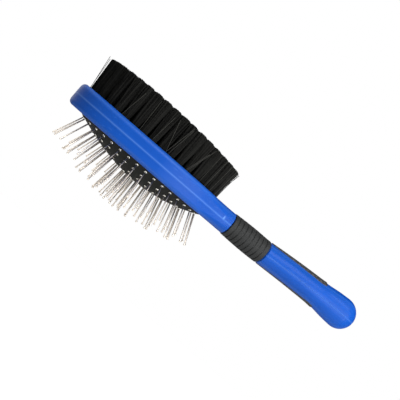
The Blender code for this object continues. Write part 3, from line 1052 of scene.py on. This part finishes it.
@dataclass
class Collar:
    """Ribbed rubber collar round the neck.

    Attributes:
        start: Station of its front end.
        end: Station of its back end.
        ribs: Number of ribs.
        proud: How far the rib crests stand past the body.
        barrel: Extra swell in the middle.
        cuts: Depth of the grooves over the crown and at the sides.
        groove_share: Width of a groove as a share of the rib pitch.
        tuck: How far its very ends are drawn in.
        thick: Wall.
        form: The modelled piece.
    """

    start: float = 116.3 * MM
    end: float = 142.6 * MM
    ribs: int = 9
    proud: float = 0.35 * MM
    barrel: float = 0.35 * MM
    cuts: tuple[float, float] = (1.05 * MM, 0.16 * MM)
    groove_share: float = 0.30
    tuck: float = 0.6 * MM
    thick: float = 1.4 * MM
    form: bpy.types.Object = field(init=False, repr=False)

    def surface(self, along: float, around: float) -> Vector:
        """A point of the outside.

        Args:
            along: Share of the collar's length.
            around: Share of the full turn.

        Returns:
            The point.
        """
        x = self.start + along * (self.end - self.start)
        _, _, rise = FORM.size(x)
        side, share = (1, around * 2) if around < 0.5 else (-1, 2 - around * 2)
        crown = math.sin(share * math.pi) ** 2.2
        cut = self.cuts[1] + (self.cuts[0] - self.cuts[1]) * crown
        phase = abs(((along * self.ribs) % 1.0) - 0.5) * 2
        groove = max(0.0, (phase - (1 - self.groove_share)) / self.groove_share)
        groove = groove * groove * (3 - 2 * groove)
        at_end = min(along, 1 - along) * (self.end - self.start) < 0.05 * MM
        swell = self.proud + self.barrel * math.sin(math.pi * along)
        grow = swell - (self.tuck if at_end else cut * groove)
        across, level = FORM.section(x, share, grow)
        return LAYOUT.place(x, across, rise + side * level)

    def build(self) -> None:
        """Model the collar with its grooves and its wall."""
        self.form = mapped_grid("ribbed_collar_form", self.ribs * 22, 160, self.surface)
        close_seams(self.form)
        face_out(self.form, 1)
        modify(self.form, "SOLIDIFY", thickness=self.thick, offset=-1.0, use_even_offset=False)
        smooth(self.form, 50)

    def dress(self, finishes: Finishes) -> None:
        """Finish the collar and put it in the CAD collar's place.

        Args:
            finishes: The finishes.
        """
        dress(self.form, finishes.collar, Slot.GRIP)
        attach(self.form, Body.BRUSH.value)
        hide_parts("ribbed_collar")


@dataclass
class Inlay:
    """Soft grip let into one face of the handle.

    Attributes:
        name: Name of the piece.
        node: The CAD node that it stands for.
        side: The face it is on.
        outline: Station and half width along it, in mm.
        proud: How far its middle stands past the body.
        deep: How far it goes in.
        skirt: Share of the grid across that goes down on each side.
        form: The modelled piece.
    """

    name: str
    node: str
    side: Side
    outline: tuple[tuple[float, float], ...]
    proud: float = 0.7 * MM
    deep: float = 1.1 * MM
    skirt: float = 0.06
    form: bpy.types.Object = field(init=False, repr=False)

    def half_width(self, x: float) -> float:
        """Half width of the outline at a station.

        Args:
            x: Station.

        Returns:
            The half width.
        """
        stations, widths = zip(*self.outline)
        return float(np.interp(x / MM, stations, widths)) * MM

    def body_level(self, x: float, y: float) -> float:
        """Level of the body's own surface.

        Args:
            x: Station.
            y: Distance across.

        Returns:
            The level above the parting plane.
        """
        return float(np.interp(abs(y), *crown_run(x))) * self.side + FORM.size(x)[2]

    def surface(self, along: float, around: float) -> Vector:
        """A point of the pad: out over its crown, then down its skirt.

        Args:
            along: Share of the pad's length.
            around: Share of the way across, skirts included.

        Returns:
            The point.
        """
        first, last = self.outline[0][0] * MM, self.outline[-1][0] * MM
        x = first + (last - first) * (0.5 - 0.5 * math.cos(math.pi * along))
        wide = self.half_width(x)
        share = min(max((around - self.skirt) / (1 - 2 * self.skirt), 0.0), 1.0) * 2 - 1
        ends = min(along, 1 - along)
        crown = math.sqrt(max(1 - abs(share) ** 2.6, 0)) * min(ends / 0.05, 1) ** 0.5
        lift = self.proud * (0.07 + 0.93 * crown)
        if min(around, 1 - around) < self.skirt / 2 or ends <= 0:
            lift = -self.deep
        y = wide * share
        return LAYOUT.place(x, y, self.body_level(x, y) + self.side * lift)

    def build(self) -> None:
        """Model the pad."""
        self.form = mapped_grid(self.name, 130, 48, self.surface)
        modify(self.form, "SOLIDIFY", thickness=0.3 * MM, offset=-float(self.side))
        close_seams(self.form)
        smooth(self.form, 45)

    def dress(self, finishes: Finishes) -> None:
        """Finish the pad and put it in the CAD pad's place.

        Args:
            finishes: The finishes.
        """
        dress(self.form, finishes.grip, Slot.GRIP)
        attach(self.form, Body.BRUSH.value)
        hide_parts(self.node)


@dataclass
class Grips:
    """Both inlays of the handle.

    Attributes:
        pads: The inlays.
    """

    pads: tuple[Inlay, ...] = field(default_factory=lambda: (
        Inlay("upper_grip_form", "upper_grip_inlay", Side.BRISTLES, (
            (143.8, 2.6), (145.8, 3.6), (150, 4.8), (156.3, 6.0), (169, 7.4), (180, 7.9), (183.3, 7.3),
            (184.2, 6.2)), 0.5 * MM),
        Inlay("lower_grip_form", "lower_grip_inlay", Side.PINS, (
            (143.8, 1.4), (147.8, 2.4), (154, 3.5), (162.5, 4.6), (173.2, 5.7), (182, 6.2), (184.9, 5.6),
            (186, 4.6)), 0.4 * MM),
    ))

    def build(self) -> None:
        """Model the inlays."""
        for pad in self.pads:
            pad.build()

    def dress(self, finishes: Finishes) -> None:
        """Finish the inlays.

        Args:
            finishes: The finishes.
        """
        for pad in self.pads:
            pad.dress(finishes)


# --------------------------------------------------------------------------------------
# Cushion and pins
# --------------------------------------------------------------------------------------


@dataclass(frozen=True)
class PinRing:
    """One ring of pins that moves together.

    Attributes:
        name: Name of the ring.
        share: Share of the dome's radius.
        count: Number of pins.
        body: The body it rides on.
        phase: Share of a step that its first pin is moved on.
    """

    name: str
    share: float
    count: int
    body: Body
    phase: float = 0.0


PIN_RINGS = (
    PinRing("outer", 0.94, 34, Body.OUTER),
    PinRing("second", 0.75, 28, Body.SECOND, 0.5),
    PinRing("third", 0.5, 18, Body.THIRD),
    PinRing("inner", 0.25, 10, Body.INNER, 0.5),
    PinRing("centre", 0.06, 2, Body.INNER),
)


@dataclass
class Cushion:
    """Domed rubber air cushion.

    Attributes:
        middle: Station of its middle.
        long: Half length.
        wide: Half width.
        height: Height of the dome.
        skew: How much fuller the dome is towards the neck.
        rim: Depth of its rim below the parting plane.
        thick: Thickness of the rubber.
        flange: Level of the flange inside the body.
        flange_share: Share of the grid that the flange takes.
        splay: Lean of the pins nearly at the edge, towards the ends and the sides, in degrees.
        splay_at: Share of the dome's radius at which they lean so far.
        rise: Height and reach of the rubber's rise round a pin.
        travel: How far the middle can be pressed; not used.
        form: The modelled piece.
    """

    middle: float = 54.8 * MM
    long: float = 44.9 * MM
    wide: float = 25 * MM
    height: float = 9.8 * MM
    skew: float = 0.10
    rim: float = 7.05 * MM
    thick: float = 1.3 * MM
    flange: float = 3.6 * MM
    flange_share: float = 0.06
    splay: tuple[float, float] = (23.0, 28.0)
    splay_at: float = 0.9
    rise: tuple[float, float] = (0.32 * MM, 1.25 * MM)
    travel: float = 3.0 * MM
    form: bpy.types.Object = field(init=False, repr=False)

    def level(self, x: float, y: float) -> float:
        """Level of the dome.

        Args:
            x: Distance along from its middle.
            y: Distance across.

        Returns:
            The level, negative below the parting plane.
        """
        share = (x / self.long) ** 2 + (y / self.wide) ** 2
        return -self.rim - self.height * (1 + self.skew * x / self.long) * max(1 - share, 0.0)

    def pins(self, ring: PinRing) -> list[tuple[Vector, Vector]]:
        """Where the pins of a ring leave the dome.

        Args:
            ring: The ring.

        Returns:
            For each pin, the leaving point and its direction.
        """
        found = []
        long, wide = self.long * ring.share, self.wide * ring.share
        for turn in even_turns(long, wide, ring.count, ring.phase):
            x, y = long * math.cos(turn), wide * math.sin(turn)
            lean = (
                math.tan(math.radians(self.splay[0])) * x / (self.splay_at * self.long),
                math.tan(math.radians(self.splay[1])) * y / (self.splay_at * self.wide),
            )
            leave = LAYOUT.place(self.middle + x, y, self.level(x, y))
            found.append((leave, Vector((*lean, -1)).normalized()))
        return found

    def surface(self, turn: float, out: float) -> Vector:
        """A point of the dome and of the flange behind its rim.

        Args:
            turn: Share of the full turn.
            out: From 0 at the crown to 1 at the flange's edge.

        Returns:
            The point.
        """
        angle = turn * 2 * math.pi
        c, s = math.cos(angle), math.sin(angle)
        dome = 1 - self.flange_share
        share = min(out / dome, 1.0)
        share = math.sin(share * math.pi / 2) ** 0.9 if share < 1 else 1.0
        x, y = self.long * share * c, self.wide * share * s
        if out <= dome:
            return LAYOUT.place(self.middle + x, y, self.level(x, y))
        past = (out - dome) / self.flange_share
        return LAYOUT.place(self.middle + x, y, -self.rim + past * (self.rim - self.flange))

    def build(self) -> None:
        """Model the dome with a low collar round every pin."""
        self.form = mapped_grid("rubber_cushion_form", 288, 110, self.surface)
        points = points_of(self.form)
        for ring in PIN_RINGS:
            for leave, along in self.pins(ring):
                gap = np.hypot(points[:, 0] - leave.x, points[:, 1] - leave.y)
                swell = self.rise[0] * np.exp(-((gap / self.rise[1]) ** 2))
                points += np.outer(swell * (points[:, 2] < LAYOUT.parting - self.rim), np.array(along))
        move_points(self.form, points)
        close_seams(self.form, 2e-6)
        face_out(self.form, -1)
        modify(self.form, "SOLIDIFY", thickness=self.thick, offset=-1.0, use_even_offset=False)
        smooth(self.form, 50)

    def dress(self, finishes: Finishes) -> None:
        """Finish the dome and put it in the CAD cushion's place.

        Args:
            finishes: The finishes.
        """
        dress(self.form, finishes.cushion, Slot.CUSHION)
        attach(self.form, Body.BRUSH.value)
        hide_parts("rubber_cushion")
        anchor = tuple(LAYOUT.place(self.middle, 0, -self.rim))
        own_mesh(self.form)


@dataclass
class Pins:
    """Ball-tipped wire pins, drawn darker towards the root as painted shade, each with an eyelet where it
    leaves the rubber whose near-white colour is a painted highlight.

    Attributes:
        radius: Radius of the wire.
        ball: Radius of the tip.
        proud: Length outside the rubber.
        root: Length inside the rubber.
        eyelet: Middle radius and half thickness of the eyelet.
        eyelet_rise: How far its middle stands out of the rubber.
        jitter: Spread of the pins' directions, in degrees.
        sides: Sides of the wire.
        wires: The rings of wires.
        eyelets: The rings of eyelets.
    """

    radius: float = 0.38 * MM
    ball: float = 0.62 * MM
    proud: float = 19.7 * MM
    root: float = 3.0 * MM
    eyelet: tuple[float, float] = (0.60 * MM, 0.24 * MM)
    eyelet_rise: float = 0.30 * MM
    jitter: float = 1.1
    sides: int = 14
    wires: dict[str, bpy.types.Object] = field(default_factory=dict)
    eyelets: dict[str, bpy.types.Object] = field(default_factory=dict)

    def wire_model(self) -> bpy.types.Object:
        """Model one pin, its root at the origin and its tip along +Z.

        Returns:
            The model.
        """
        clear_selection()
        bpy.ops.mesh.primitive_uv_sphere_add(segments=self.sides, ring_count=14, radius=1.0)
        model = bpy.context.object
        points = points_of(model)
        length = self.root + self.proud
        made = []
        for x, y, z in points:
            if z > -0.55:
                made.append((x * self.ball, y * self.ball, length - self.ball + z * self.ball))
            else:
                out = math.hypot(x, y)
                shaft = self.radius / out if out > 1e-4 else 0
                low = 0.0 if z < -0.75 else length - 1.9 * self.ball
                made.append((x * shaft, y * shaft, low))
        move_points(model, np.array(made))
        close_seams(model, 1e-7)
        return model

    def eyelet_model(self) -> bpy.types.Object:
        """Model one eyelet round the origin.

        Returns:
            The model.
        """
        clear_selection()
        bpy.ops.mesh.primitive_torus_add(
            major_segments=16, minor_segments=8, major_radius=self.eyelet[0], minor_radius=self.eyelet[1])
        return bpy.context.object

    def build(self, cushion: Cushion) -> None:
        """Lay out every ring of pins.

        Args:
            cushion: The cushion that holds them.
        """
        random = np.random.default_rng(11)
        wire, eyelet = self.wire_model(), self.eyelet_model()
        wire_points, eyelet_points = points_of(wire), points_of(eyelet)
        # Share of the way from root to tip, kept as "shade": it draws the steel darker towards the root,
        # painted shade and painted reflection of the rubber.
        reach = wire_points[:, 2] / (self.root + self.proud)
        for ring in PIN_RINGS:
            wires, eyelets = [], []
            for leave, along in cushion.pins(ring):
                lean = Vector(random.normal(0, math.tan(math.radians(self.jitter)), 2)).to_3d()
                way = (along + lean).normalized()
                turn = np.array(Vector((0, 0, 1)).rotation_difference(way).to_matrix())
                wires.append(wire_points @ turn.T + np.array(leave - way * self.root))
                eyelets.append(eyelet_points @ turn.T + np.array(leave + way * self.eyelet_rise))
            made = copies(f"pin_wires_{ring.name}", wire, wires)
            values = made.data.attributes.new("shade", "FLOAT", "POINT")
            values.data.foreach_set("value", np.tile(reach, len(wires)).astype(np.float32))
            self.wires[ring.name] = made
            self.eyelets[ring.name] = copies(f"pin_eyelets_{ring.name}", eyelet, eyelets)
        for model in (wire, eyelet):
            bpy.data.objects.remove(model)

    def dress(self, finishes: Finishes) -> None:
        """Finish every ring and let it ride on its own body.

        Args:
            finishes: The finishes.
        """
        for ring in PIN_RINGS:
            wires, eyelets = self.wires[ring.name], self.eyelets[ring.name]
            smooth(wires, 50)
            smooth(eyelets, 60)
            dress(wires, finishes.steel, Slot.STEEL)
            dress(eyelets, finishes.eyelet)
            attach(wires, ring.body.value)
            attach(eyelets, ring.body.value)
            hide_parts(f"pin_ring_{ring.name}")


# --------------------------------------------------------------------------------------
# Bristles
# --------------------------------------------------------------------------------------


@dataclass
class Bristles:
    """Tufts of fine fibres drawn through the plate.

    Attributes:
        middle: Station of the plate's middle.
        long: Half length of the plate.
        top: Highest level of the fibre tips.
        crest: Share of the plate's half length where the tips are highest.
        falls: Drop of the tips towards the head's end and towards the neck.
        plate_top: Level of the plate's face.
        sunk: How far below it the fibres start.
        root: Radius of a tuft at the plate.
        spread: Radius of a tuft at its tips.
        fibre: Radius of a fibre.
        per_tuft: Fibres in one tuft.
        stray_ring: The group that the stray fibres belong to.
        strays: Foot and tip station, side and drop of each stray fibre, in mm.
        forms: The rings of tufts.
    """

    middle: float = 52.6 * MM
    long: float = 48.9 * MM
    top: float = 29.4 * MM
    crest: float = -0.3
    falls: tuple[float, float] = (1.2 * MM, 3.4 * MM)
    plate_top: float = 6.4 * MM
    sunk: float = 1.2 * MM
    root: float = 2.25 * MM
    spread: float = 3.4 * MM
    fibre: float = 0.17 * MM
    per_tuft: int = 160
    stray_ring: str = "bristle_ring_outer"
    strays: tuple[tuple[float, float, float, float], ...] = (
        (4.9, 1.6, -3.5, 0.3), (4.6, 2.4, 2.0, 1.2), (59.5, 53.5, -24.6, 3.5), (58.5, 62.5, -24.7, 1.8),
        (60.3, 62.9, -24.5, 3.0), (74.2, 79.8, -23.4, 1.8), (73.5, 78.2, -23.3, 6.0),
        (92.5, 93.6, -16.2, 1.0), (96.6, 97.8, -12.8, 1.2), (98.5, 99.4, -9.5, 0.8),
        (88.5, 89.1, -18.8, 1.4), (84.2, 84.4, -20.6, 1.2), (27.0, 29.8, -21.2, 5.0),
        (40.2, 38.9, -24.2, 2.6), (48.6, 50.4, -24.9, 4.4),
    )
    forms: list[bpy.types.Object] = field(default_factory=list)

    def trim(self, x: float) -> float:
        """Level of the fibre tips at a station.

        Args:
            x: Station.

        Returns:
            The level.
        """
        past = (x - self.middle) / self.long - self.crest
        if past > 0:
            return self.top - self.falls[1] * (past / (1 - self.crest)) ** 2
        return self.top - self.falls[0] * (past / (1 + self.crest)) ** 2

    def rings(self) -> dict[str, list[tuple[float, float]]]:
        """Where the tufts of every group stand.

        Returns:
            For each CAD node, the stations and sides of its tufts.
        """
        found = {}
        sizes = (("outer", 45.5, 22.8, 34, 0.0), ("second", 39.7, 17.3, 28, 0.5),
                 ("third", 33.9, 11.8, 22, 0.0), ("inner", 28.1, 6.3, 18, 0.5))
        for name, long, wide, count, phase in sizes:
            found[f"bristle_ring_{name}"] = [
                (self.middle + long * MM * math.cos(turn), wide * MM * math.sin(turn))
                for turn in even_turns(long, wide, count, phase)
            ]
        found["bristle_row_centre"] = [(self.middle + i * 6.7 * MM, 0.0) for i in range(-2, 3)]
        return found

    def fibre_model(self) -> bpy.types.Object:
        """Model one fibre along +Z, of unit length, with four levels to bend it by.

        Returns:
            The model.
        """
        clear_selection()
        bpy.ops.mesh.primitive_cylinder_add(vertices=3, radius=1.0, depth=1.0, end_fill_type="TRIFAN")
        model = bpy.context.object
        for level in (0.35, 0.7):
            edit_all(model, lambda z=level - 0.5: bpy.ops.mesh.bisect(plane_co=(0, 0, z), plane_no=(0, 0, 1)))
        move_points(model, points_of(model) + np.array((0, 0, 0.5)))
        return model

    def tuft(
        self, model: np.ndarray, x: float, y: float, random: np.random.Generator
    ) -> tuple[list[np.ndarray], list[float]]:
        """Fan the fibres of one tuft out of its hole.

        Args:
            model: Vertices of the fibre's model.
            x: Station of the hole.
            y: Side of the hole.
            random: Source of chance.

        Returns:
            The vertices of each fibre, and the shade of each.
        """
        outward = np.array(((x - self.middle) / self.long, y / (25 * MM)))
        lean = outward * 0.45 * MM + random.normal(0, 0.32 * MM, 2)
        base = random.uniform(0.07, 0.25)
        low = self.plate_top - self.sunk
        fibres, shades = [], []
        for i in range(self.per_tuft):
            out = math.sqrt((i + 0.5) / self.per_tuft)
            turn = i * GOLDEN_ANGLE + random.normal(0, 0.25)
            ray = np.array((math.cos(turn), math.sin(turn))) * out
            tip = ray * self.spread * random.normal(1, 0.07) + lean
            if random.random() < 0.03:
                tip = tip * random.uniform(1.1, 1.55)
            foot = ray * self.root * random.uniform(0.9, 1.05)
            bow = random.normal(0, 0.18 * MM, 2)
            top = self.trim(x + tip[0]) - abs(random.normal(0, 0.30 * MM)) - 0.8 * MM * out**3
            high = model[:, 2]
            share = high**1.15
            side = foot + np.outer(share, tip - foot) + np.outer(np.sin(high * math.pi), bow)
            thick = self.fibre * random.uniform(0.8, 1.15)
            points = np.column_stack((
                x + side[:, 0] + model[:, 0] * thick - LAYOUT.length / 2,
                y + side[:, 1] + model[:, 1] * thick,
                low + high * (top - low) + LAYOUT.parting,
            ))
            fibres.append(points)
            shades.append(min(max(base + random.normal(0, 0.09), 0.0), 1.0))
        return fibres, shades

    def stray(self, model: np.ndarray, foot: float, tip: float, side: float, drop: float) -> np.ndarray:
        """Lay one stray fibre over the tufts.

        Args:
            model: Vertices of the fibre's model.
            foot: Station where it leaves the plate, in mm.
            tip: Station of its tip, in mm.
            side: Distance across at the plate, in mm.
            drop: How far its tip stays below the other tips, in mm.

        Returns:
            The fibre's vertices.
        """
        low = self.plate_top - self.sunk
        top = self.trim(tip * MM) - drop * MM
        high = model[:, 2]
        return np.column_stack((
            (foot + (tip - foot) * high) * MM + model[:, 0] * self.fibre - LAYOUT.length / 2,
            side * (1 + 0.15 * high) * MM + model[:, 1] * self.fibre,
            low + high * (top - low) + LAYOUT.parting,
        ))

    def build(self) -> None:
        """Lay out every group of tufts."""
        random = np.random.default_rng(5)
        model = self.fibre_model()
        shape = points_of(model)
        for node, places in self.rings().items():
            fibres, shades = [], []
            for x, y in places:
                more, tones = self.tuft(shape, x, y, random)
                fibres += more
                shades += tones
            if node == self.stray_ring:
                fibres += [self.stray(shape, *place) for place in self.strays]
                shades += [1.0] * len(self.strays)
            form = copies(f"{node}_fibres", model, fibres, shades)
            form["stands_for"] = node
            self.forms.append(form)
        bpy.data.objects.remove(model)

    def dress(self, finishes: Finishes) -> None:
        """Finish the tufts and put them in the CAD tufts' place.

        Args:
            finishes: The finishes.
        """
        for form in self.forms:
            dress(form, finishes.bristle, Slot.BRISTLE)
            smooth(form, 80)
            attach(form, Body.BRUSH.value)
            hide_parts(form["stands_for"])


# --------------------------------------------------------------------------------------
# Hidden parts, stage, light and camera
# --------------------------------------------------------------------------------------


def dress_kept_parts(nodes: dict[str, bpy.types.Object], finishes: Finishes) -> None:
    """Give the CAD parts that stay shown a real finish.

    Args:
        nodes: The CAD nodes by name.
        finishes: The finishes.
    """
    for name in ("bristle_plate", "cushion_retaining_ring"):
        dress(nodes[name], finishes.plate, Slot.PLATE)


@dataclass(frozen=True)
class Lamp:
    """One soft area light.

    Attributes:
        name: Name of the light.
        at: Where it stands.
        aim: What it points at.
        size: Edge of its square.
        watts: Its power.
    """

    name: str
    at: tuple[float, float, float]
    aim: tuple[float, float, float]
    size: float
    watts: float

    def build(self) -> None:
        """Make the light."""
        lamp = bpy.data.lights.new(self.name, "AREA")
        lamp.size, lamp.energy = self.size, self.watts
        stand = bpy.data.objects.new(self.name, lamp)
        bpy.context.scene.collection.objects.link(stand)
        stand.location = self.at
        way = Vector(self.aim) - Vector(self.at)
        stand.rotation_euler = way.to_track_quat("-Z", "Y").to_euler()


@dataclass
class Studio:
    """White floor, soft light and the camera.

    Attributes:
        floor_level: Height of the floor.
        floor_size: Edge of the floor.
        aim: Point the camera looks at.
        distance: Its distance from there.
        azimuth: Turn of the camera about +Z, in degrees.
        roll: How far the brush's +X appears turned from level, in degrees.
        lens: Focal length for a 36 mm sensor.
        ambient: Brightness of the surroundings on the camera's side and behind the brush.
        dark_side: Directions along the brush between which reflections turn from light to dark.
        lamps: The lights.
    """

    floor_level: float = -0.8
    floor_size: float = 12.0
    aim: Vector = field(default_factory=lambda: Vector((-0.0116, 0.0, LAYOUT.parting - 0.0004)))
    distance: float = 0.573
    azimuth: float = -8.0
    roll: float = 40.94
    lens: float = 88.7
    ambient: tuple[float, float] = (0.55, 0.10)
    dark_side: tuple[float, float] = (-0.40, -0.02)
    lamps: tuple[Lamp, ...] = (
        Lamp("key_light", (0.10, -0.30, 0.60), (0, 0, 0.03), 0.45, 3.2),
        Lamp("handle_fill", (0.30, -0.38, 0.05), (0.03, 0, 0.03), 0.4, 2.3),
        Lamp("low_fill", (0.12, -0.24, -0.36), (0.03, 0, 0.03), 0.5, 0.9),
    )

    def build(self) -> None:
        """Make the floor, the surroundings, the lights and the camera."""
        self.build_floor()
        self.build_world()
        for lamp in self.lamps:
            lamp.build()
        self.build_camera()

    def build_floor(self) -> None:
        """Make the plain white floor."""
        clear_selection()
        bpy.ops.mesh.primitive_plane_add(size=self.floor_size, location=(0, 0, self.floor_level))
        floor = bpy.context.object
        floor.name = "white_floor"
        paper = Finish("floor_white", (0.93, 0.93, 0.93), (0.95, 0.95, 0.95), (0.85, 0.95),
                       scales=(2.0, 8.0), specular=0.1).build()
        board = Board(paper.node_tree)
        shader = paper.node_tree.nodes["Principled BSDF"]
        shader.inputs["Emission Color"].default_value = (1, 1, 1, 1)
        seen = board.add("LightPath").outputs["Is Camera Ray"]
        board.tree.links.new(seen, shader.inputs["Emission Strength"])
        dress(floor, paper)
        floor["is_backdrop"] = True

    def build_world(self) -> None:
        """Show white to the camera, one dark side to shiny pieces and a soft grey to everything else."""
        world = bpy.data.worlds.new("soft_white_room")
        bpy.context.scene.world = world
        world.use_nodes = True
        board = Board(world.node_tree)
        ground = world.node_tree.nodes["Background"]
        way = board.add("SeparateXYZ", {"Vector": board.add("TexCoord").outputs["Generated"]}).outputs
        soft = board.add("MapRange", {
            "Value": way["Y"], "From Min": -0.6, "From Max": 0.6,
            "To Min": self.ambient[0], "To Max": self.ambient[1]}).outputs["Result"]
        shine = board.add("MapRange", {
            "Value": way["X"], "From Min": self.dark_side[0], "From Max": self.dark_side[1],
            "To Min": 1.1, "To Max": 0.01}).outputs["Result"]
        rays = board.add("LightPath").outputs
        glow = board.add("MapRange", {"Value": rays["Is Glossy Ray"], "To Min": soft, "To Max": shine})
        total = board.add("MapRange", {
            "Value": rays["Is Camera Ray"], "To Min": glow.outputs["Result"], "To Max": 1.0})
        board.tree.links.new(total.outputs["Result"], ground.inputs["Strength"])
        ground.inputs["Color"].default_value = (1, 1, 1, 1)

    def build_camera(self) -> None:
        """Place the camera and turn it about its own axis."""
        turn, roll = math.radians(self.azimuth), math.radians(self.roll)
        back = Vector((math.sin(turn), -math.cos(turn), 0))
        across, up = Vector((math.cos(turn), math.sin(turn), 0)), Vector((0, 0, 1))
        right = across * math.cos(roll) + up * math.sin(roll)
        top = up * math.cos(roll) - across * math.sin(roll)
        camera = bpy.data.cameras.new("camera")
        camera.lens, camera.sensor_width = self.lens, 36.0
        camera.dof.use_dof = False
        stand = bpy.data.objects.new("camera", camera)
        bpy.context.scene.collection.objects.link(stand)
        stand.matrix_world = Matrix.Translation(self.aim + back * self.distance) @ Matrix(
            (right, top, back)).transposed().to_4x4()
        bpy.context.scene.camera = stand
        bpy.context.scene.view_settings.view_transform = "Standard"


# --------------------------------------------------------------------------------------
# The whole scene
# --------------------------------------------------------------------------------------


def note_size(cad: tuple[Vector, Vector], seen: tuple[Vector, Vector]) -> None:
    """Write the CAD's box and the finished pieces' box.

    Args:
        cad: Lowest and highest corner of the CAD.
        seen: Lowest and highest corner of what is shown.
    """
    boxes = {name: [list(corner) for corner in box] for name, box in (("cad", cad), ("visual", seen))}
    for name, box in boxes.items():
        log.info("%s box: %s", name, [[round(value / MM, 2) for value in corner] for corner in box])


def main() -> None:
    """Build every part of the brush in order, dress it and set the stage."""
    finishes = Finishes.build()
    body, collar, grips = BlueBody(), Collar(), Grips()
    for part in (body, collar, grips):
        part.build()
        part.dress(finishes)
        log.info("%s is done", type(part).__name__)
    cushion, pins, bristles = Cushion(), Pins(), Bristles()
    cushion.build()
    pins.build(cushion)
    bristles.build()
    for part in (cushion, pins, bristles):
        part.dress(finishes)
        log.info("%s is done", type(part).__name__)
    dress_kept_parts(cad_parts, finishes)
    Studio().build()
    clear_selection()
    note_size(cad_box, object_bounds())


if __name__ == "__main__":
    logging.basicConfig(level=logging.INFO, format="%(message)s")
    main()
